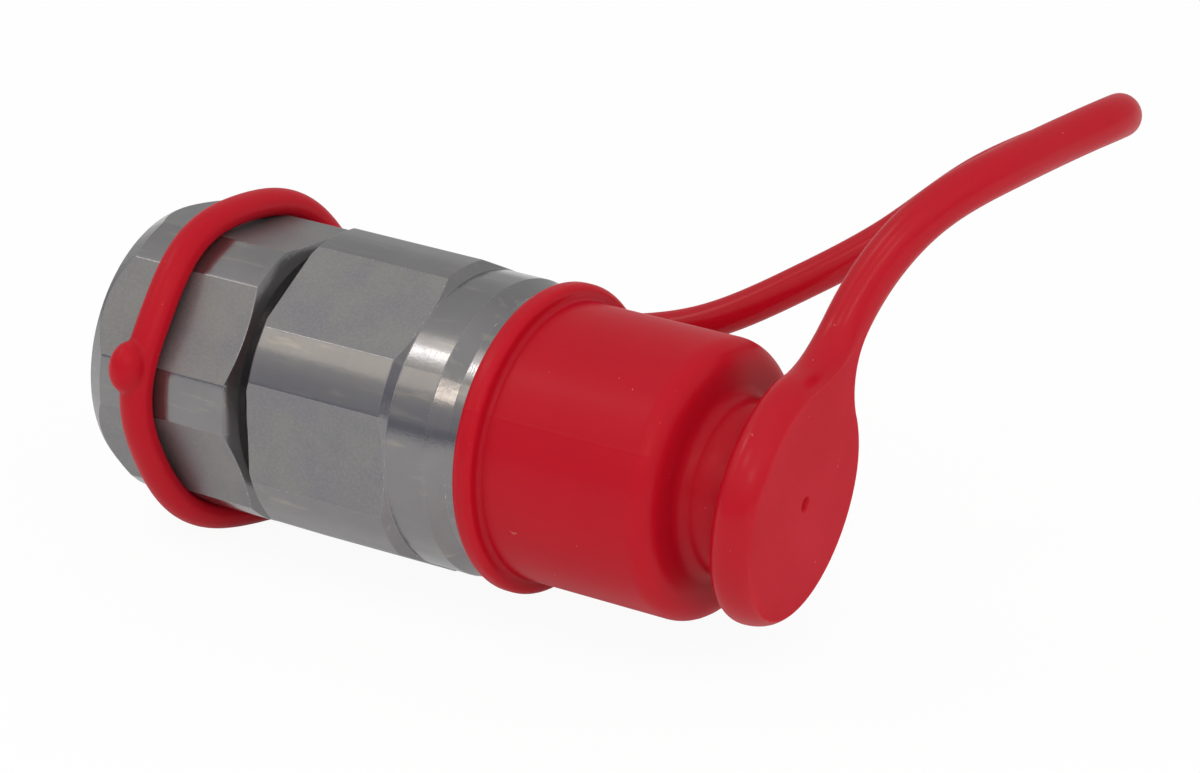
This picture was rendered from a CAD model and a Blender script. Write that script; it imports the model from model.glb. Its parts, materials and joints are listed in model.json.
"""Looks of a flat face quick coupler: plated steel body, red soft dust cap with its tether and ring.

The coupler's axis is X, with the port thread at X = 0 and the nose at +X. Sizes are in millimetres until a
mesh is made, where they become metres.
"""
import json
import math

import bmesh
import bpy
from mathutils import Matrix, Vector


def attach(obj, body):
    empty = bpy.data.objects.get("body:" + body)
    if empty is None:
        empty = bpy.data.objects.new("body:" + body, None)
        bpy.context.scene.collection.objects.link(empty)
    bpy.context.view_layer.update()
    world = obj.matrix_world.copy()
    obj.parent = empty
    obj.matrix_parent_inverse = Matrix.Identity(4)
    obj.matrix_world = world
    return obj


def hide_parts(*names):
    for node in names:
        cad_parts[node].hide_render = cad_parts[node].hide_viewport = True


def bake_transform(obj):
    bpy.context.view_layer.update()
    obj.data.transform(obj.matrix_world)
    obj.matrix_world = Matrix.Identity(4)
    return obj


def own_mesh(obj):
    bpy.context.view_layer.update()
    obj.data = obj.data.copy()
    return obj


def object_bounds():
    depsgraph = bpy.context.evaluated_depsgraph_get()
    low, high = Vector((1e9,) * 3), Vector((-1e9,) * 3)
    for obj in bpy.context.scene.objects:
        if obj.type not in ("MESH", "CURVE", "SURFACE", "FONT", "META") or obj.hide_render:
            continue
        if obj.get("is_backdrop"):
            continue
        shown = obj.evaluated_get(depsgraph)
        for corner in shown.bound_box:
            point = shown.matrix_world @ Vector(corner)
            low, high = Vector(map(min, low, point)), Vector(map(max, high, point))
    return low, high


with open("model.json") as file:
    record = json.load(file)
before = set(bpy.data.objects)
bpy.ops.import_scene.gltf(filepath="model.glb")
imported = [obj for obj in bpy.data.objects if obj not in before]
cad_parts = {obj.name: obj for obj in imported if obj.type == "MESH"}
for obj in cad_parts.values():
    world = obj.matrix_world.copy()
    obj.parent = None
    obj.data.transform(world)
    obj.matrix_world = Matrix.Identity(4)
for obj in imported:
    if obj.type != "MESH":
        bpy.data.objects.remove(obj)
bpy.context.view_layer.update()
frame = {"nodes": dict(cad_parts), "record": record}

MM = 0.001
NODES = frame["nodes"]
BODY = "coupler_body"
CAP = "cap"

# Rear adapter: width across the flats, radius of the turned blank, and turn of the hexagon in degrees
REAR_ACROSS = 38.5
REAR_TURNED = 20.5
REAR_TURN = 25.8
# Its bevelled ends as (place, radius), and between them its two shoulders' places and the blank's radius
REAR_FACE = (0, 18.85)
REAR_SHOULDERS = (2.9, 23.7, REAR_TURNED)
REAR_FRONT = (25.0, 18.3)
# Its port, and the spigot that screws into the nose body, with the groove of the joint's seal
PORT_MOUTH = 12.81
PORT_BORE = 12.06
PORT_END = 17.0
THREAD_PITCH = 1.814
THREAD_DEPTH = 1.16
THREAD_LEAD = 0.9
THREAD_RUNOUT = 1.2
THREAD_STEPS = 116
FLOW_START = 17.75
FLOW_BORE = 11.3
RELIEF_RADIUS = 16.6
SPIGOT_RADIUS = 14.95
SPIGOT_END = 40.5
SEAL_START = 30.1
SEAL_END = 33.7
SEAL_FLOOR = 13.0

# Nose body: the same for its hexagon
FRONT_ACROSS = 41.0
FRONT_TURNED = 21.75
FRONT_TURN = 1.4
BODY_START = 28.1
BAND_RADIUS = 20.45
FRONT_FACE = (BODY_START, 21.25)
FRONT_SHOULDERS = (28.6, 50.0, FRONT_TURNED)
FRONT_BAND = (50.9, BAND_RADIUS)
# Its band, cone and collar, the nose with its locking groove, and its bores
BAND_END = 57.1
COLLAR_START = 59.6
COLLAR_END = 61.5
COLLAR_RADIUS = 19.0
NOSE_RADIUS = 16.5
NOSE_FACE = 80.7
LOCK_FLOOR = 15.3
JOINT_BORE = 15.0
CHAMBER = 13.0
GUIDE_BORE = 11.3
NOSE_SEAL_FLOOR = 13.15
SNAP_FLOOR = 15.8

# Dust cap: cup with its rolled bead, and grip neck
CAP_MOUTH = 61.8
CAP_INSIDE = 87.3
CAP_FRONT = 91.6
CAP_RADIUS = 19.2
CAP_BORE = 16.8
BEAD_RADIUS = 21.25
BEAD_END = 65.0
BEAD_ROOT = 19.05
GRIP_NECK = 11.7
NECK_END = 100.6
# Its parting line: angle, height, half width in degrees, and the radius beyond which it shows
SEAM_ANGLE = 151.2
SEAM_HEIGHT = 0.045
SEAM_SPREAD = 0.7
SEAM_FROM = 17

# Grip disc: it leans, flares into the tether, and has a moulding gate in the middle of its face
DISC_RADIUS = 17.3
DISC_LEAN = 7.0
DISC_NOD = 5.4
DISC_FLARE = 10.8
DISC_MIDDLE = 0.5
GATE_RADIUS = 1.0
GATE_DEPTH = 1.2
GATE_WALL = (GATE_RADIUS - 0.15, GATE_RADIUS + 0.1)
# Its rim: rounding of the face as (inwards, height) from an angle in degrees on, rounding of the back, steps
FACE_EDGE = (2.2, 3.757)
FACE_EDGE_ANGLE = 21.3
BACK_EDGE = 2.5
RIM_STEPS = 12
# Places of a section's points across the disc's face and back, as shares of the way out to its rim
FACE_SHARES = [0, 0.03, 0.045, 0.055, 0.062, 0.069, 0.077, 0.1, 0.15, 0.25, 0.4, 0.55, 0.7, 0.85, 0.96]
BACK_SHARES = [0.96, 0.75, 0.5, 0.25, 0]

# Tether: radius, stretch along it in which the disc's section turns round, and (loss of radius, start, end)
TETHER_RADIUS = 3.05
TURNS_ROUND = (13, 29)
TETHER_THINNING = ((0.57, 85, 130), (0.3, 150, 205))
# Sections along it: close together over the gate, then a step apart up to a gap before its end
GATE_PLACES = [0, 0.4, 0.68, 0.84, 0.94, 1.04, 1.16, 1.5, 2.2]
TETHER_STEP = 0.8
TETHER_GAP = 0.9
FAN_STEPS = 72

# Ring stretched round the rear hexagon: a flattened wire that bulges a little over the corners
RING_CORNER = 55.8
RING_OUTER = 23.77
RING_SWELL = 0.36
RING_HALF_HEIGHT = 1.95
RING_HALF_WIDTH = 2.42
RING_PLACE = 13.42
RING_TILT = (0.145, -0.083)
RING_WAVE = (0.3, -1.14)
RING_STEPS = 240
RING_SIDES = 32
RING_VOXEL = 0.25
# Its pull nub, an ellipsoid, and the tether's root, a cone
NUB_SIZE = (2.7, 3.0, 3.65)
NUB_PLACE = (9.8, -22.5, 5.4)
NUB_ANGLE = 167.5
ROOT_PLACE = (19.2, 23.2, 0.0)
ROOT_WAY = (-1, -0.3, 0)
ROOT_RADII = (2.2, 3.0)
ROOT_LENGTH = 5

# Control points of the tether's line, from the middle of the grip disc to the ring
TETHER_ROUTE = [
    (100.9, -0.4, 0.3),
    (101.0, 2.1, 4.2),
    (101.1, 6.8, 12.4),
    (101.3, 15.2, 23.7),
    (106.8, 23.2, 34.6),
    (111.6, 36.8, 37.5),
    (111.8, 50.2, 37.3),
    (115.2, 66.9, 38.4),
    (99.4, 70.4, 28.3),
    (96.0, 53.5, 28.5),
    (89.4, 44.1, 20.6),
    (79.0, 36.3, 13.9),
    (68.1, 29.4, 7.1),
    (54.4, 27.1, 4.4),
    (40.6, 26.9, 1.9),
    (26.4, 27.4, 0.5),
    (20.6, 24.0, 0.0),
    (16.9, 22.3, 0.0),
]

# Springs: start, end, radius of the wire's middle, wire and turns, and the share of length kept when pushed
POPPET_COIL = (46.15, 67.2, 6.9, 1.6, 4.5)
RELIEF_COIL = (68.3, 72.8, 2.1, 0.5, 4.5)
COIL_START = -90.0
COIL_STEPS = 48
COIL_SIDES = 16

# Hexagons: least break and rounding of their end edges, blend where a flat meets the blank, and in degrees
# the columns on both sides of that edge and how near it a face counts as rubbed
EDGE_BREAK = 0.12
EDGE_ROUND = 0.22
EDGE_BLEND = 0.03
EDGE_COLUMNS = (1.4, 0.4, 0.12)
RUBBED_WITHIN = 0.1
SECTOR = 60.0

# Places along a strip's outline: the long face of a hexagon and the rounded edges at its two ends, and on the
# nose body the rims of its hexagon's end faces, the band's front edge and the collar's rear edge
FLAT_PLACE = 14
EDGE_PLACES = (11, 12, 15, 16)
FRONT_RIMS = (6, 7, 21, 22, 26, 27, 31, 32)

# Depth of the fine relief in the materials, in mm
RELIEF_DEPTH = 0.03

# What polished metal mirrors, from straight below to straight above: share of the way up and colour
STUDIO_RAMP = [
    (0.0, "FFFFFF"),
    (0.34, "FFFFFF"),
    (0.42, "E2E3E8"),
    (0.47, "A6A8B2"),
    (0.51, "83869A"),
    (0.55, "9092A4"),
    (0.6, "B2B2BC"),
    (0.68, "D6D5D6"),
    (0.75, "E4E3E2"),
    (0.83, "F8F7F4"),
    (0.92, "EAEAEA"),
    (1.0, "F8F8F8"),
]
DIFFUSE_LEVEL = 0.72

# Floor: half its width in metres, and how far it glows white to the camera and in reflections
FLOOR_HALF = 3.0
FLOOR_WHITE = 0.94
FLOOR_MIRRORED = 0.5

# Lamps: name, place in metres, power in watts, size in metres, colour, and whether it shows in reflections
LAMPS = [
    ("key_softbox", (0.38, -0.68, 0.8), 3.0, 0.9, "FFFFFF", False),
    ("right_softbox", (1.0, -0.4, 0.42), 2.3, 0.9, "FFFFFF", False),
    ("spark_lamp", (0.5, -0.69, 0.55), 0.3, 0.14, "FFF0DC", True),
    ("strap_spark", (0.045, -0.64, 0.78), 0.24, 0.1, "FFF2DC", True),
    ("strip_glow", (-0.52, -0.6, 0.6), 0.12, 0.2, "FFF0DC", True),
    ("back_spark", (-0.54, -0.36, 0.8), 0.2, 0.07, "FFFFFF", True),
    ("back_strip", (-0.57, -0.33, 0.85), 0.4, 0.32, "FFF6EA", True),
]
LAMP_AIM = (0.055, 0.01, 0)

# Camera fitted to the photograph: place in mm, direction, and lens for a 36 mm sensor
CAMERA_PLACE = (528.2, -662.65, 330.63)
CAMERA_LOOK = (-0.5271, 0.7646, -0.3709)
CAMERA_LENS = 196.52


def linear(code):
    """A colour written as sRGB hex, as linear RGBA."""
    def channel(start):
        value = int(code[start:start + 2], 16) / 255
        return value / 12.92 if value <= 0.04045 else ((value + 0.055) / 1.055) ** 2.4
    return (channel(0), channel(2), channel(4), 1.0)


def add(tree, kind, settings=None, **links):
    """Add a node, set its attributes and sockets, and link what is given as (node, output).

    A socket goes by its name, with _ for a space, or by its number after an i.
    """
    node = tree.nodes.new(kind)
    for name, value in (settings or {}).items():
        setattr(node, name, value)
    for name, value in links.items():
        numbered = name[0] == "i" and name[1:].isdigit()
        socket = node.inputs[int(name[1:]) if numbered else name.replace("_", " ")]
        if isinstance(value, tuple) and len(value) == 2 and hasattr(value[0], "outputs"):
            tree.links.new(value[0].outputs[value[1]], socket)
        else:
            socket.default_value = value
    return node


def new_material(name):
    """An empty node material with a Principled shader, ready for its own nodes."""
    material = bpy.data.materials.new(name)
    material.use_nodes = True
    tree = material.node_tree
    return material, tree, tree.nodes["Principled BSDF"]


def soft_min(first, second, width):
    """The lesser of two lengths, rounded over where they cross."""
    near = max(width - abs(first - second), 0.0) / width
    return min(first, second) - near * near * width / 4


def rounded(points, steps=4):
    """Corners (place, radius, rounding) as a finer line, with an arc at each corner that has a rounding."""
    line = []
    count = len(points)
    for number, (place, radius, rounding) in enumerate(points):
        corner = Vector((place, radius))
        if rounding == 0:
            line.append(corner)
            continue
        back = Vector(points[number - 1][:2]) - corner
        ahead = Vector(points[(number + 1) % count][:2]) - corner
        half = back.angle(ahead) / 2
        cut = min(rounding / math.tan(half), 0.45 * back.length, 0.45 * ahead.length)
        start = corner + back.normalized() * cut
        end = corner + ahead.normalized() * cut
        reach = cut * math.tan(half)
        centre = corner + (back.normalized() + ahead.normalized()).normalized() * (reach / math.sin(half))
        sweep = (start - centre).angle_signed(end - centre)
        for step in range(steps + 1):
            turn = Matrix.Rotation(-sweep * step / steps, 2)
            line.append(centre + turn @ (start - centre))
    return line


def finish_mesh(bm, name, materials=()):
    """Close, turn outwards and smooth a mesh in metres, and make it a piece."""
    bmesh.ops.remove_doubles(bm, verts=bm.verts, dist=1e-7)
    bmesh.ops.dissolve_degenerate(bm, edges=bm.edges, dist=1e-7)
    bmesh.ops.recalc_face_normals(bm, faces=bm.faces)
    mesh = bpy.data.meshes.new(name)
    bm.to_mesh(mesh)
    bm.free()
    mesh.polygons.foreach_set("use_smooth", [True] * len(mesh.polygons))
    for material in materials:
        mesh.materials.append(material)
    piece = bpy.data.objects.new(name, mesh)
    bpy.context.scene.collection.objects.link(piece)
    return piece


def lay_strips(bm, strips, wrap, loop, finish=None):
    """Quads between strips of points: wrap joins the last strip to the first, loop closes each strip.

    finish gives the number of a quad's material from its strip and its place along the strip.
    """
    rows = [[bm.verts.new(point * MM) for point in strip] for strip in strips]
    count = len(rows[0])
    for number, row in enumerate(rows if wrap else rows[:-1]):
        other = rows[(number + 1) % len(rows)]
        for place in range(count if loop else count - 1):
            following = (place + 1) % count
            quad = bm.faces.new((row[place], row[following], other[following], other[place]))
            quad.material_index = finish(number, place) if finish else 0
    return rows


def even_normals(piece):
    """Shade broad faces flat up to their rounded edges."""
    keeper = piece.modifiers.new("Even normals", "WEIGHTED_NORMAL")
    keeper.mode = "FACE_AREA"
    keeper.weight = 50


def about_axis(place, radius, angle):
    """A point at a place along the axis, a radius from it and an angle up from +Y, in degrees."""
    turn = math.radians(angle)
    return Vector((place, radius * math.cos(turn), radius * math.sin(turn)))


def flat_height(across, offset):
    """Radius of a hexagon's flat at an angle from the middle of that flat."""
    return across / 2 / math.cos(math.radians(offset))


def hexagon_angles(across, turned):
    """Angles within one sixth of a turn, close together where a flat meets the turned strip beside it."""
    edge = math.degrees(math.acos(across / 2 / turned))
    side = [0.0, 4.0, 8.0, 12.0, 16.0, edge, 26.0, 28.5]
    side += [edge - away for away in EDGE_COLUMNS] + [edge + away for away in EDGE_COLUMNS]
    return sorted([-angle for angle in side if angle > 0] + side + [SECTOR / 2])


def hexagon_finish(across, turned, rims=()):
    """Which finish a quad has: 0 turned, 1 milled flat, 2 the rubbed edge between them or a rim named."""
    angles = hexagon_angles(across, turned)
    edge = math.degrees(math.acos(across / 2 / turned))

    def finish(strip, place):
        first = angles[strip % len(angles)]
        second = angles[(strip + 1) % len(angles)] if (strip + 1) % len(angles) else SECTOR / 2
        middle = abs(first + second) / 2
        on_flat = middle < edge
        if place == FLAT_PLACE and abs(middle - edge) < RUBBED_WITHIN:
            return 2
        if place in EDGE_PLACES and on_flat or place in rims:
            return 2
        return 1 if place == FLAT_PLACE and on_flat else 0
    return finish


def hexagon_rows(rear, shoulders, front, flat):
    """The four corners of a turned and milled hexagon at one angle: rear face, two shoulders, front."""
    rear_place, rear_radius = rear
    front_place, front_radius = front
    rear_shoulder, front_shoulder, turned = shoulders
    height = soft_min(turned, flat, EDGE_BLEND)
    rear_slope = (rear_shoulder - rear_place) / (turned - rear_radius)
    front_slope = (front_place - front_shoulder) / (turned - front_radius)
    return [
        (rear_place, min(rear_radius, height - EDGE_BREAK), EDGE_ROUND),
        (rear_place + max(EDGE_BREAK, (height - rear_radius) * rear_slope), height, EDGE_ROUND),
        (front_place - max(EDGE_BREAK, (height - front_radius) * front_slope), height, EDGE_ROUND),
        (front_place, min(front_radius, height - EDGE_BREAK), EDGE_ROUND),
    ]


def thread_rows(angle):
    """Bore wall from its inner end to its mouth, with a rounded helical groove."""
    rows = []
    start = PORT_END - THREAD_RUNOUT
    for step in range(THREAD_STEPS + 1):
        place = start + (THREAD_LEAD - start) * step / THREAD_STEPS
        fade = min(1.0, (start - place) / THREAD_PITCH)
        wave = 0.5 - 0.5 * math.cos(2 * math.pi * (place / THREAD_PITCH - angle / 360))
        rows.append((place, PORT_BORE + THREAD_DEPTH * wave * fade, 0))
    return rows


def make_port_adapter(finishes):
    """Rear half of the body: milled hexagon, threaded port and the spigot that screws into the nose body."""
    strips = []
    for sector in range(6):
        for offset in hexagon_angles(REAR_ACROSS, REAR_TURNED):
            angle = REAR_TURN + SECTOR * sector + offset
            flat = flat_height(REAR_ACROSS, offset)
            hexagon = hexagon_rows(REAR_FACE, REAR_SHOULDERS, REAR_FRONT, flat)
            outline = [(0, PORT_MOUTH, 0.1)] + hexagon + [
                (REAR_FRONT[0], RELIEF_RADIUS, 0.3),
                (BODY_START, RELIEF_RADIUS, 0.3),
                (BODY_START, SPIGOT_RADIUS, 0.1),
                (SEAL_START, SPIGOT_RADIUS, 0.05),
                (SEAL_START, SEAL_FLOOR, 0.1),
                (SEAL_END, SEAL_FLOOR, 0.1),
                (SEAL_END, SPIGOT_RADIUS, 0.05),
                (SPIGOT_END, SPIGOT_RADIUS, 0.3),
                (SPIGOT_END, FLOW_BORE, 0.3),
                (FLOW_START, FLOW_BORE, 0.1),
                (PORT_END, PORT_BORE, 0.1),
            ] + thread_rows(angle)
            strips.append([about_axis(point[0], point[1], angle) for point in rounded(outline)])
    bm = bmesh.new()
    lay_strips(bm, strips, wrap=True, loop=True, finish=hexagon_finish(REAR_ACROSS, REAR_TURNED))
    return finish_mesh(bm, "port_adapter_threaded", finishes)


def make_nose_body(finishes):
    """Front half of the body: milled hexagon, band, cone, collar, and the nose with its locking groove."""
    strips = []
    for sector in range(6):
        for offset in hexagon_angles(FRONT_ACROSS, FRONT_TURNED):
            angle = FRONT_TURN + SECTOR * sector + offset
            flat = flat_height(FRONT_ACROSS, offset)
            hexagon = hexagon_rows(FRONT_FACE, FRONT_SHOULDERS, FRONT_BAND, flat)
            outline = [(BODY_START, JOINT_BORE, 0.1)] + hexagon + [
                (BAND_END, BAND_RADIUS, 0.25),
                (COLLAR_START, COLLAR_RADIUS, 0.25),
                (COLLAR_END, COLLAR_RADIUS, 0.2),
                (COLLAR_END, NOSE_RADIUS, 0.3),
                (67.9, NOSE_RADIUS, 0.3),
                (69.1, LOCK_FLOOR, 0.4),
                (72.1, LOCK_FLOOR, 0.4),
                (73.3, NOSE_RADIUS, 0.3),
                (79.7, NOSE_RADIUS, 0.3),
                (NOSE_FACE, 15.5, 0.2),
                (NOSE_FACE, GUIDE_BORE, 0.1),
                (78.1, GUIDE_BORE, 0.05),
                (78.1, NOSE_SEAL_FLOOR, 0.1),
                (74.5, NOSE_SEAL_FLOOR, 0.1),
                (74.5, GUIDE_BORE, 0.05),
                (71.7, GUIDE_BORE, 0.1),
                (71.7, CHAMBER, 0.2),
                (46.1, CHAMBER, 0.1),
                (46.1, JOINT_BORE, 0.1),
                (42.0, JOINT_BORE, 0.05),
                (42.0, SNAP_FLOOR, 0.1),
                (40.8, SNAP_FLOOR, 0.1),
                (40.8, JOINT_BORE, 0.05),
            ]
            strips.append([about_axis(point[0], point[1], angle) for point in rounded(outline)])
    bm = bmesh.new()
    finish = hexagon_finish(FRONT_ACROSS, FRONT_TURNED, FRONT_RIMS)
    lay_strips(bm, strips, wrap=True, loop=True, finish=finish)
    return finish_mesh(bm, "nose_body_turned", finishes)


def make_cap_cup():
    """Cup, rolled bead and grip neck of the dust cap, with a parting line along each side."""
    outline = [
        (CAP_INSIDE, 0, 0),
        (CAP_INSIDE, CAP_BORE, 1.5),
        (CAP_MOUTH, CAP_BORE, 0.5),
        (CAP_MOUTH, BEAD_RADIUS, 1.5),
        (BEAD_END, BEAD_RADIUS, 1.5),
        (BEAD_END, BEAD_ROOT, 0.7),
        (CAP_FRONT, CAP_RADIUS, 4.4),
        (CAP_FRONT, GRIP_NECK, 2.0),
        (NECK_END, GRIP_NECK - 0.2, 0),
        (NECK_END, 0, 0),
    ]
    line = rounded(outline, 10)
    fine = [0.0, 0.25, 0.5, 0.75, 1.0, 1.3]
    angles = sorted(set([angle * 2.5 for angle in range(144)] + [
        (SEAM_ANGLE + side + sign * step) % 360 for side in (0, 180) for sign in (1, -1) for step in fine]))
    strips = []
    for angle in angles:
        strip = []
        for place, radius in line:
            from_seam = abs((angle - SEAM_ANGLE + 90) % 180 - 90) / SEAM_SPREAD
            ridge = SEAM_HEIGHT * math.exp(-from_seam * from_seam) if radius > SEAM_FROM else 0.0
            strip.append(about_axis(place, radius + ridge, angle))
        strips.append(strip)
    bm = bmesh.new()
    lay_strips(bm, strips, wrap=True, loop=False)
    return finish_mesh(bm, "dust_cap_cup")


def line_along(points, steps=24):
    """Points along the smooth line that control points give."""
    curve = bpy.data.curves.new("line", "CURVE")
    curve.dimensions = "3D"
    curve.resolution_u = steps
    spline = curve.splines.new("NURBS")
    spline.points.add(len(points) - 1)
    for point, place in zip(spline.points, points):
        point.co = (*place, 1)
    spline.order_u = 4
    spline.use_endpoint_u = True
    holder = bpy.data.objects.new("line", curve)
    mesh = bpy.data.meshes.new_from_object(holder)
    line = [vert.co.copy() for vert in mesh.vertices]
    bpy.data.objects.remove(holder)
    bpy.data.meshes.remove(mesh)
    return line


def eased(value, start, end):
    """A smooth step from 0 at the start to 1 at the end."""
    share = min(1.0, max(0.0, (value - start) / (end - start)))
    return share * share * (3 - 2 * share)


def tether_half(along):
    """Radius of the tether at a distance along it from the disc's centre: it thins towards the ring."""
    radius = TETHER_RADIUS
    for loss, start, end in TETHER_THINNING:
        radius -= loss * eased(along, start, end)
    return radius


def half_width(along, inset):
    """Half the width of disc, flare or tether at a distance from the disc's centre, less an inset."""
    reach = math.sqrt((DISC_RADIUS + DISC_FLARE) ** 2 - (TETHER_RADIUS + DISC_FLARE) ** 2)
    share = reach / (DISC_RADIUS + DISC_FLARE)
    if along < (DISC_RADIUS - inset) * share:
        return math.sqrt(max(0.0, (DISC_RADIUS - inset) ** 2 - along * along))
    if along < reach:
        return TETHER_RADIUS + DISC_FLARE - math.sqrt((DISC_FLARE + inset) ** 2 - (along - reach) ** 2)
    return tether_half(along) - inset


def rim_points(along):
    """Rim of the section from its face to its back as (inset, height): D-shaped on the disc, round beyond."""
    radius = tether_half(along)
    roundness = eased(along, *TURNS_ROUND)
    inwards, height = FACE_EDGE
    points = []
    for step in range(2 * RIM_STEPS + 1):
        share = step / RIM_STEPS
        if share < 1:
            turn = math.radians(FACE_EDGE_ANGLE + (90 - FACE_EDGE_ANGLE) * share)
            disc = Vector((inwards * (1 - math.sin(turn)), height * math.cos(turn) - DISC_MIDDLE))
        else:
            turn = math.radians(90 * share)
            disc = Vector((BACK_EDGE * (1 - math.sin(turn)), BACK_EDGE * math.cos(turn) - DISC_MIDDLE))
        spin = math.radians(90 * share)
        wire = Vector((radius * (1 - math.sin(spin)), radius * math.cos(spin)))
        points.append(disc.lerp(wire, roundness))
    return points


def half_section(along):
    """Half a section as (sideways, forwards), from the face's middle round the rim to the back's middle."""
    rim = [Vector((half_width(along, inset), height)) for inset, height in rim_points(along)]
    line = []
    for share in FACE_SHARES:
        away = math.hypot(along, rim[0].x * share)
        pit = GATE_DEPTH * (1 - eased(away, *GATE_WALL))
        line.append(Vector((rim[0].x * share, rim[0].y - pit)))
    line += rim
    line += [Vector((rim[-1].x * share, rim[-1].y)) for share in BACK_SHARES]
    return line


def make_tether(gloss, matt):
    """Grip disc that flares into the tether, which loops out and back to the ring, as one moulding."""
    route = line_along(TETHER_ROUTE)
    lean = Matrix.Rotation(math.radians(DISC_LEAN), 3, "Z")
    nod = Matrix.Rotation(math.radians(DISC_NOD), 3, "Y")
    normal = lean @ nod @ Vector((1, 0, 0))
    lengths = [0.0]
    for before, point in zip(route, route[1:]):
        lengths.append(lengths[-1] + (point - before).length)
    places = list(GATE_PLACES)
    while places[-1] < lengths[-1] - TETHER_GAP:
        places.append(places[-1] + TETHER_STEP)
    bm = bmesh.new()
    strips = []
    number = 0
    side = normal
    for place in places:
        while lengths[number + 1] < place:
            number += 1
        share = (place - lengths[number]) / (lengths[number + 1] - lengths[number])
        point = route[number].lerp(route[number + 1], share)
        tangent = (route[number + 1] - route[number]).normalized()
        side = (side - tangent * side.dot(tangent)).normalized()
        across = tangent.cross(side)
        half = half_section(place)
        loop = [point + across * spot.x + side * spot.y for spot in half]
        loop += [point - across * spot.x + side * spot.y for spot in half[-2:0:-1]]
        strips.append(loop)
    count = len(strips[0])
    flat = set(range(len(FACE_SHARES))) | set(range(count - len(FACE_SHARES), count))
    rows = lay_strips(bm, strips, wrap=False, loop=True, finish=lambda strip, place: int(place in flat))
    middle = bm.verts.new(sum((vert.co for vert in rows[-1]), Vector()) / count)
    for place in range(count):
        bm.faces.new((rows[-1][place], rows[-1][(place + 1) % count], middle))
    tangent = (route[1] - route[0]).normalized()
    side = (normal - tangent * normal.dot(tangent)).normalized()
    across = tangent.cross(side)
    half = half_section(0)
    fan = []
    for step in range(FAN_STEPS + 1):
        turn = math.pi * step / FAN_STEPS
        outwards = across * math.cos(turn) - tangent * math.sin(turn)
        fan.append([route[0] + outwards * spot.x + side * spot.y for spot in half])
    lay_strips(bm, fan, wrap=False, loop=False, finish=lambda strip, place: int(place in flat))
    return finish_mesh(bm, "dust_cap_tether", (gloss, matt))


def make_spring(name, coil, finish):
    """Compression spring of round wire, its ends flush with the seats that it presses on."""
    start, end, radius, wire, turns = coil
    half = wire / 2
    count = round(turns * COIL_STEPS)
    strips = []
    for step in range(count + 1):
        share = step / count
        place = start + half + (end - start - wire) * share
        angle = COIL_START + 360 * turns * share
        strip = []
        for spoke in range(COIL_SIDES):
            turn = 2 * math.pi * spoke / COIL_SIDES
            strip.append(about_axis(place + half * math.sin(turn), radius + half * math.cos(turn), angle))
        strips.append(strip)
    bm = bmesh.new()
    rows = lay_strips(bm, strips, wrap=False, loop=True)
    bm.faces.new(rows[0])
    bm.faces.new(rows[-1])
    return finish_mesh(bm, name, (finish,))


def tube_tree():
    """Geometry nodes that run a flattened wire along a curve."""
    tree = bpy.data.node_groups.new("Moulded wire", "GeometryNodeTree")
    face = tree.interface
    face.new_socket("Geometry", in_out="INPUT", socket_type="NodeSocketGeometry")
    for name, kind in (("Half width", "NodeSocketFloat"), ("Half height", "NodeSocketFloat"),
                       ("Sides", "NodeSocketInt"), ("Finish", "NodeSocketMaterial")):
        face.new_socket(name, in_out="INPUT", socket_type=kind)
    face.new_socket("Geometry", in_out="OUTPUT", socket_type="NodeSocketGeometry")
    source = add(tree, "NodeGroupInput")
    circle = add(tree, "GeometryNodeCurvePrimitiveCircle", Radius=1.0, Resolution=(source, "Sides"))
    size = add(tree, "ShaderNodeCombineXYZ", X=(source, "Half width"), Y=(source, "Half height"), Z=1.0)
    profile = add(tree, "GeometryNodeTransform", Geometry=(circle, "Curve"), Scale=(size, "Vector"))
    tube = add(tree, "GeometryNodeCurveToMesh", Curve=(source, "Geometry"),
               Profile_Curve=(profile, "Geometry"))
    smooth = add(tree, "GeometryNodeSetShadeSmooth", Geometry=(tube, "Mesh"))
    real = add(tree, "GeometryNodeRealizeInstances", Geometry=(smooth, "Geometry"))
    finish = add(tree, "GeometryNodeSetMaterial", Geometry=(real, "Geometry"), Material=(source, "Finish"))
    add(tree, "NodeGroupOutput", Geometry=(finish, "Geometry"))
    return tree


def ring_point(angle):
    """Middle of the stretched ring, which bulges over the corners and tilts and waves along the axis."""
    outer = RING_OUTER + RING_SWELL * math.cos(math.radians(6 * (angle - RING_CORNER)))
    point = about_axis(0, outer - RING_HALF_HEIGHT, angle)
    twice = math.radians(2 * angle)
    wave = RING_WAVE[0] * math.cos(twice) + RING_WAVE[1] * math.sin(twice)
    point.x = RING_PLACE + RING_TILT[0] * point.y + RING_TILT[1] * point.z + wave
    return point


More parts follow.
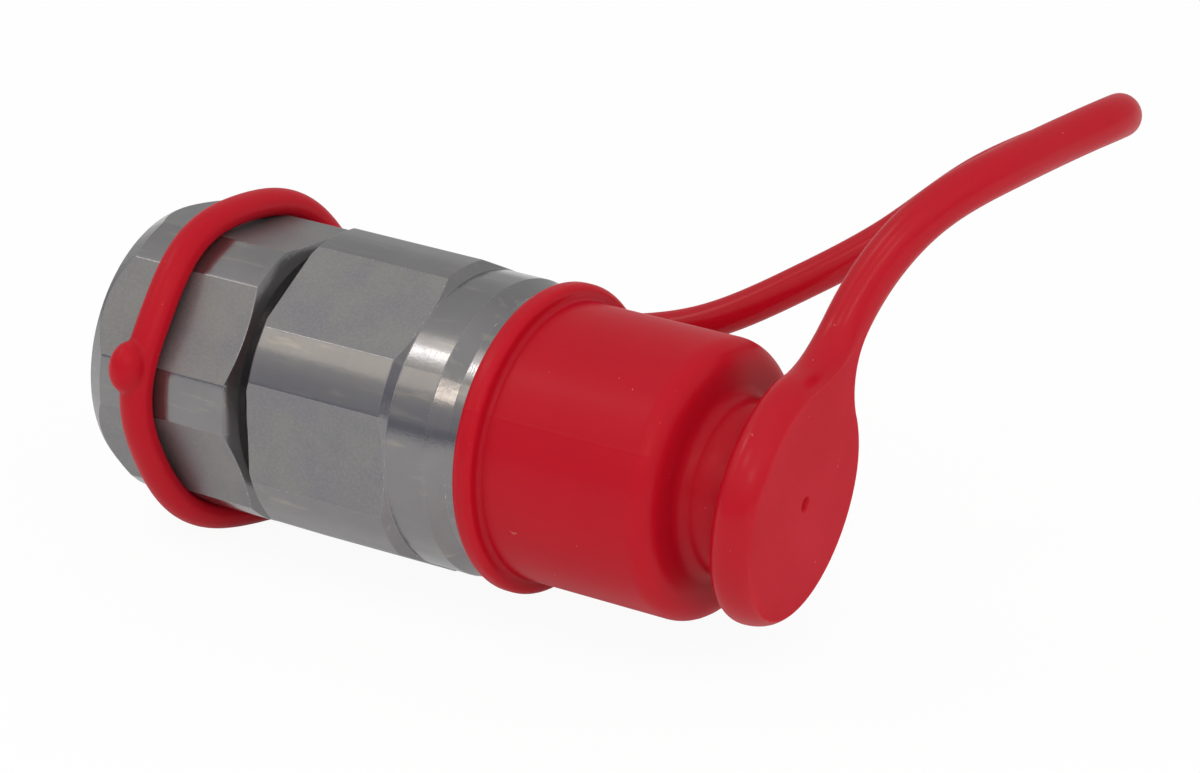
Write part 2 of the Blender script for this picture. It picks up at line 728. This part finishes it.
def make_ring(material):
    """Elastic ring stretched over the rear hexagon, with its pull nub and the tether's root in one skin."""
    curve = bpy.data.curves.new("ring_line", "CURVE")
    curve.dimensions = "3D"
    spline = curve.splines.new("POLY")
    spline.points.add(RING_STEPS - 1)
    spline.use_cyclic_u = True
    for number in range(RING_STEPS):
        spline.points[number].co = (*(ring_point(90 + number * 360 / RING_STEPS) * MM), 1)
    holder = bpy.data.objects.new("ring_line", curve)
    bpy.context.scene.collection.objects.link(holder)
    tree = tube_tree()
    modifier = holder.modifiers.new("Moulded wire", "NODES")
    modifier.node_group = tree
    values = {"Half width": RING_HALF_WIDTH * MM, "Half height": RING_HALF_HEIGHT * MM, "Sides": RING_SIDES,
              "Finish": material}
    for item in tree.interface.items_tree:
        if item.in_out == "INPUT" and item.name in values:
            modifier[item.identifier] = values[item.name]
    graph = bpy.context.evaluated_depsgraph_get()
    wire = bpy.data.meshes.new_from_object(holder.evaluated_get(graph))
    holder.modifiers.remove(modifier)
    bpy.data.objects.remove(holder)
    bm = bmesh.new()
    bm.from_mesh(wire)
    bpy.data.meshes.remove(wire)
    turn = Matrix.Rotation(math.radians(NUB_ANGLE), 4, "X")
    size = Matrix.Diagonal((*NUB_SIZE, 1)) * MM
    size[3][3] = 1
    nub = Matrix.Translation(Vector(NUB_PLACE) * MM) @ turn @ size
    bmesh.ops.create_uvsphere(bm, u_segments=48, v_segments=32, radius=1, matrix=nub)
    way = Vector(ROOT_WAY).to_track_quat("Z", "Y").to_matrix().to_4x4()
    root = Matrix.Translation(Vector(ROOT_PLACE) * MM) @ way
    bmesh.ops.create_cone(bm, cap_ends=True, segments=48, radius1=ROOT_RADII[0] * MM,
                          radius2=ROOT_RADII[1] * MM, depth=ROOT_LENGTH * MM, matrix=root)
    rough = finish_mesh(bm, "ring_parts")
    skin = rough.modifiers.new("One skin", "REMESH")
    skin.mode = "VOXEL"
    skin.voxel_size = RING_VOXEL * MM
    ease = rough.modifiers.new("Soft joints", "SMOOTH")
    ease.factor = 0.5
    ease.iterations = 8
    graph = bpy.context.evaluated_depsgraph_get()
    mesh = bpy.data.meshes.new_from_object(rough.evaluated_get(graph))
    bpy.data.objects.remove(rough)
    mesh.polygons.foreach_set("use_smooth", [True] * len(mesh.polygons))
    mesh.materials.clear()
    mesh.materials.append(material)
    ring = bpy.data.objects.new("dust_cap_ring", mesh)
    bpy.context.scene.collection.objects.link(ring)
    return ring


def turned_steel():
    """Zinc-nickel plating on turned steel: smooth grey with faint tool rings and warm lengthwise smears."""
    material, tree, shader = new_material("plated_steel_turned")
    shader.inputs["Metallic"].default_value = 0.9
    coords = add(tree, "ShaderNodeTexCoord")
    stretch = add(tree, "ShaderNodeMapping", Vector=(coords, "Object"), Scale=(4 / MM, 0.06 / MM, 0.06 / MM))
    rings = add(tree, "ShaderNodeTexNoise", Vector=(stretch, "Vector"), Scale=1.0, Detail=3.0)
    cloud = add(tree, "ShaderNodeTexNoise", Vector=(coords, "Object"), Scale=1 / (5 * MM), Detail=4.0)
    tint = add(tree, "ShaderNodeMix", {"data_type": "RGBA"}, i0=(cloud, "Fac"), i6=linear("7F7D80"),
               i7=linear("8B8A89"))
    along = add(tree, "ShaderNodeMapping", Vector=(coords, "Object"), Scale=(0.11 / MM, 0.75 / MM, 0.75 / MM))
    smear = add(tree, "ShaderNodeTexNoise", Vector=(along, "Vector"), Scale=1.0, Detail=4.0)
    share = add(tree, "ShaderNodeMapRange", Value=(smear, "Fac"), From_Min=0.6, From_Max=0.78, To_Min=0.0,
                To_Max=0.6)
    smeared = add(tree, "ShaderNodeMix", {"data_type": "RGBA"}, i0=(share, 0), i6=(tint, 2),
                  i7=linear("A6A194"))
    tree.links.new(smeared.outputs[2], shader.inputs["Base Color"])
    rough = add(tree, "ShaderNodeMapRange", Value=(rings, "Fac"), To_Min=0.13, To_Max=0.23)
    tree.links.new(rough.outputs[0], shader.inputs["Roughness"])
    dents = add(tree, "ShaderNodeTexNoise", Vector=(coords, "Object"), Scale=1 / (0.45 * MM), Detail=2.0)
    relief = add(tree, "ShaderNodeMath", {"operation": "ADD"}, i0=(rings, "Fac"), i1=(dents, "Fac"))
    bump = add(tree, "ShaderNodeBump", Height=(relief, 0), Strength=0.3, Distance=RELIEF_DEPTH * MM)
    tree.links.new(bump.outputs[0], shader.inputs["Normal"])
    return material


def milled_steel():
    """Zinc-nickel plating on milled flats: soft grey with a fine speckle, cool with a warm cast in clouds."""
    material, tree, shader = new_material("plated_steel_milled")
    shader.inputs["Metallic"].default_value = 0.75
    coords = add(tree, "ShaderNodeTexCoord")
    speckle = add(tree, "ShaderNodeTexNoise", Vector=(coords, "Object"), Scale=1 / (0.35 * MM), Detail=4.0)
    cloud = add(tree, "ShaderNodeTexNoise", Vector=(coords, "Object"), Scale=1 / (6 * MM), Detail=4.0)
    patch = add(tree, "ShaderNodeMapRange", Value=(cloud, "Fac"), From_Min=0.35, From_Max=0.65)
    blotch = add(tree, "ShaderNodeMix", {"data_type": "RGBA"}, i0=(patch, 0), i6=linear("7C7B7E"),
                 i7=linear("848380"))
    share = add(tree, "ShaderNodeMapRange", Value=(speckle, "Fac"), From_Min=0.4, From_Max=0.7, To_Min=0.0,
                To_Max=0.4)
    tint = add(tree, "ShaderNodeMix", {"data_type": "RGBA"}, i0=(share, 0), i6=(blotch, 2),
               i7=linear("96959A"))
    tree.links.new(tint.outputs[2], shader.inputs["Base Color"])
    rough = add(tree, "ShaderNodeMapRange", Value=(speckle, "Fac"), To_Min=0.38, To_Max=0.5)
    tree.links.new(rough.outputs[0], shader.inputs["Roughness"])
    bump = add(tree, "ShaderNodeBump", Height=(speckle, "Fac"), Strength=0.16, Distance=RELIEF_DEPTH * MM)
    tree.links.new(bump.outputs[0], shader.inputs["Normal"])
    return material


def edge_steel():
    """Edges of the hexagons, where tumbling rubs the plating bright in tiny broken glints."""
    material, tree, shader = new_material("plated_steel_rubbed_edge")
    shader.inputs["Metallic"].default_value = 1.0
    coords = add(tree, "ShaderNodeTexCoord")
    glint = add(tree, "ShaderNodeTexNoise", Vector=(coords, "Object"), Scale=1 / (0.45 * MM), Detail=3.0)
    share = add(tree, "ShaderNodeMapRange", Value=(glint, "Fac"), From_Min=0.62, From_Max=0.74, To_Min=0.0,
                To_Max=1.0)
    tint = add(tree, "ShaderNodeMix", {"data_type": "RGBA"}, i0=(share, 0), i6=linear("8C8A8E"),
               i7=linear("E2DFD6"))
    tree.links.new(tint.outputs[2], shader.inputs["Base Color"])
    rough = add(tree, "ShaderNodeMapRange", Value=(glint, "Fac"), To_Min=0.2, To_Max=0.36)
    tree.links.new(rough.outputs[0], shader.inputs["Roughness"])
    return material


def red_moulding(name, low, high, gloss, shine):
    """Soft injection-moulded PVC: even red that light sinks into, with fine grain and a little dust.

    Its highlights are broad and soft, and its shine falls off towards the outline.
    """
    material, tree, shader = new_material(name)
    shader.inputs["Roughness"].default_value = gloss
    shader.inputs["Subsurface Weight"].default_value = 0.5
    shader.inputs["Subsurface Radius"].default_value = (1.0, 0.12, 0.1)
    shader.inputs["Subsurface Scale"].default_value = 3 * MM
    facing = add(tree, "ShaderNodeLayerWeight", Blend=0.5)
    sheen = add(tree, "ShaderNodeMapRange", Value=(facing, "Facing"), From_Min=0.3, From_Max=0.85,
                To_Min=shine, To_Max=0.01)
    tree.links.new(sheen.outputs[0], shader.inputs["Specular IOR Level"])
    coords = add(tree, "ShaderNodeTexCoord")
    cloud = add(tree, "ShaderNodeTexNoise", Vector=(coords, "Object"), Scale=1 / (14 * MM), Detail=2.0)
    tint = add(tree, "ShaderNodeMix", {"data_type": "RGBA"}, i0=(cloud, "Fac"), i6=linear(low),
               i7=linear(high))
    dust = add(tree, "ShaderNodeTexNoise", Vector=(coords, "Object"), Scale=1 / (1.1 * MM), Detail=2.0)
    speck = add(tree, "ShaderNodeMapRange", Value=(dust, "Fac"), From_Min=0.76, From_Max=0.8, To_Min=0.0,
                To_Max=0.35)
    dusty = add(tree, "ShaderNodeMix", {"data_type": "RGBA"}, i0=(speck, 0), i6=(tint, 2),
                i7=linear("E0B0B0"))
    tree.links.new(dusty.outputs[2], shader.inputs["Base Color"])
    grain = add(tree, "ShaderNodeTexNoise", Vector=(coords, "Object"), Scale=1 / (0.5 * MM), Detail=3.0)
    bump = add(tree, "ShaderNodeBump", Height=(grain, "Fac"), Strength=0.12, Distance=RELIEF_DEPTH * MM)
    tree.links.new(bump.outputs[0], shader.inputs["Normal"])
    return material


def turned_metal(name, colour, low, high):
    """Plain turned or drawn metal: fine rings round the axis from the tool."""
    material, tree, shader = new_material(name)
    shader.inputs["Metallic"].default_value = 1.0
    shader.inputs["Base Color"].default_value = linear(colour)
    coords = add(tree, "ShaderNodeTexCoord")
    stretch = add(tree, "ShaderNodeMapping", Vector=(coords, "Object"), Scale=(5 / MM, 0.04 / MM, 0.04 / MM))
    rings = add(tree, "ShaderNodeTexNoise", Vector=(stretch, "Vector"), Scale=1.0, Detail=2.0)
    rough = add(tree, "ShaderNodeMapRange", Value=(rings, "Fac"), To_Min=low, To_Max=high)
    tree.links.new(rough.outputs[0], shader.inputs["Roughness"])
    return material


def moulded(name, colour, low, high):
    """Rubber or plastic of a small seal: matt, with a faint cloudiness in its gloss."""
    material, tree, shader = new_material(name)
    shader.inputs["Base Color"].default_value = linear(colour)
    coords = add(tree, "ShaderNodeTexCoord")
    cloud = add(tree, "ShaderNodeTexNoise", Vector=(coords, "Object"), Scale=1 / (1.5 * MM), Detail=3.0)
    rough = add(tree, "ShaderNodeMapRange", Value=(cloud, "Fac"), To_Min=low, To_Max=high)
    tree.links.new(rough.outputs[0], shader.inputs["Roughness"])
    return material


def make_floor(height):
    """Pale floor that reads as white round the object and keeps its soft shadow."""
    mesh = bpy.data.meshes.new("floor")
    corners = [(x * FLOOR_HALF, y * FLOOR_HALF, height) for x, y in ((-1, -1), (1, -1), (1, 1), (-1, 1))]
    mesh.from_pydata(corners, [], [(0, 1, 2, 3)])
    floor = bpy.data.objects.new("floor", mesh)
    bpy.context.scene.collection.objects.link(floor)
    material, tree, shader = new_material("white_floor")
    shader.inputs["Base Color"].default_value = linear("F4F4F4")
    shader.inputs["Roughness"].default_value = 0.9
    path = add(tree, "ShaderNodeLightPath")
    mirrored = add(tree, "ShaderNodeMath", {"operation": "MULTIPLY"}, i0=(path, "Is Glossy Ray"),
                   i1=FLOOR_MIRRORED)
    share = add(tree, "ShaderNodeMath", {"operation": "MULTIPLY_ADD"}, i0=(path, "Is Camera Ray"),
                i1=FLOOR_WHITE, i2=(mirrored, 0))
    glow = add(tree, "ShaderNodeEmission", Color=linear("FFFFFF"), Strength=1.0)
    mix = add(tree, "ShaderNodeMixShader", i0=(share, 0), i1=(shader, 0), i2=(glow, 0))
    tree.links.new(mix.outputs[0], tree.nodes["Material Output"].inputs[0])
    mesh.materials.append(material)
    floor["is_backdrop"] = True


def make_world():
    """White to the camera, an even soft light, and in reflections a white studio with a grey horizon."""
    world = bpy.data.worlds.new("studio")
    world.use_nodes = True
    bpy.context.scene.world = world
    tree = world.node_tree
    back = tree.nodes["Background"]
    path = add(tree, "ShaderNodeLightPath")
    coords = add(tree, "ShaderNodeTexCoord")
    way = add(tree, "ShaderNodeSeparateXYZ", Vector=(coords, "Generated"))
    height = add(tree, "ShaderNodeMapRange", Value=(way, "Z"), From_Min=-1.0, From_Max=1.0)
    ramp = add(tree, "ShaderNodeValToRGB", Fac=(height, 0))
    stops = ramp.color_ramp.elements
    while len(stops) < len(STUDIO_RAMP):
        stops.new(0.5)
    for stop, (place, code) in zip(stops, STUDIO_RAMP):
        stop.position = place
        stop.color = linear(code)
    far = add(tree, "ShaderNodeMapRange", Value=(way, "Y"), From_Min=-0.1, From_Max=0.5)
    studio = add(tree, "ShaderNodeMix", {"data_type": "RGBA"}, i0=(far, 0), i6=(ramp, "Color"),
                 i7=linear("CECECE"))
    tint = add(tree, "ShaderNodeMix", {"data_type": "RGBA"}, i0=(path, "Is Glossy Ray"), i6=linear("FFFFFF"),
               i7=(studio, 2))
    tree.links.new(tint.outputs[2], back.inputs[0])
    level = add(tree, "ShaderNodeMix", {"data_type": "FLOAT"}, i0=(path, "Is Glossy Ray"), i2=DIFFUSE_LEVEL,
                i3=1.0)
    seen = add(tree, "ShaderNodeMix", {"data_type": "FLOAT"}, i0=(path, "Is Camera Ray"), i2=(level, 0),
               i3=1.0)
    tree.links.new(seen.outputs[0], back.inputs[1])


def make_lamp(name, place, power, size, code, mirrored):
    """A square softbox aimed at the middle of the object, which shows in reflections or only lights it."""
    data = bpy.data.lights.new(name, "AREA")
    data.energy = power
    data.size = size
    data.color = linear(code)[:3]
    lamp = bpy.data.objects.new(name, data)
    lamp.visible_glossy = mirrored
    lamp.location = place
    aim = Vector(LAMP_AIM) - Vector(place)
    lamp.rotation_euler = aim.to_track_quat("-Z", "Y").to_euler()
    bpy.context.scene.collection.objects.link(lamp)


def make_camera():
    """The photograph's view: from the near side, the cap's end and above."""
    data = bpy.data.cameras.new("camera")
    data.sensor_width = 36.0
    data.lens = CAMERA_LENS
    data.clip_start = 0.05
    data.clip_end = 20.0
    camera = bpy.data.objects.new("camera", data)
    camera.location = Vector(CAMERA_PLACE) * MM
    camera.rotation_euler = Vector(CAMERA_LOOK).to_track_quat("-Z", "Y").to_euler()
    bpy.context.scene.collection.objects.link(camera)
    bpy.context.scene.camera = camera


turned = turned_steel()
milled = milled_steel()
rubbed = edge_steel()
red = red_moulding("soft_red_pvc", "AC0D1D", "B41022", 0.3, 0.14)
glossy_red = red_moulding("soft_red_pvc_glossy", "AC0D1D", "B41022", 0.24, 0.2)
matt_red = red_moulding("soft_red_pvc_matt", "AC0B19", "BE2232", 0.5, 0.08)
FINISHES = {
    "plated_steel": turned,
    "machined_steel": turned_metal("turned_steel", "B2B2B4", 0.22, 0.36),
    "spring_steel": turned_metal("drawn_spring_steel", "8C8C90", 0.28, 0.4),
    "bronze": turned_metal("turned_bronze", "B08A4A", 0.25, 0.4),
    "seal_rubber": moulded("nitrile_rubber", "16161A", 0.45, 0.6),
    "backup_plastic": moulded("ptfe", "E8E8E4", 0.35, 0.5),
    "red_moulding": red,
}
for entry in frame["record"]["subparts"]:
    node = NODES[entry["node"]]
    node.data.materials.clear()
    node.data.materials.append(FINISHES[entry["material_slot"]])

adapter = make_port_adapter((turned, milled, rubbed))
nose = make_nose_body((turned, milled, rubbed))
for piece, node_name in ((adapter, "port_adapter"), (nose, "nose_body")):
    even_normals(piece)
    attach(piece, BODY)
    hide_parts(node_name)

cup = make_cap_cup()
tether = make_tether(glossy_red, matt_red)
ring = make_ring(red)
cup.data.materials.append(red)
even_normals(tether)
for piece in (cup, tether, ring):
    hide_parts("dust_cap")
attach(cup, CAP)
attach(ring, BODY)
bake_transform(tether)

main_spring = make_spring("poppet_spring_coil", POPPET_COIL, FINISHES["spring_steel"])
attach(main_spring, BODY)
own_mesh(main_spring)
fine_spring = make_spring("relief_spring_coil", RELIEF_COIL, FINISHES["spring_steel"])
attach(fine_spring, "poppet")
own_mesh(fine_spring)
for piece, node_name in ((main_spring, "poppet_spring"), (fine_spring, "relief_spring")):
    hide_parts(node_name)

make_floor(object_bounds()[0].z)
make_world()
for lamp in LAMPS:
    make_lamp(*lamp)
make_camera()
bpy.context.scene.view_settings.view_transform = "Standard"
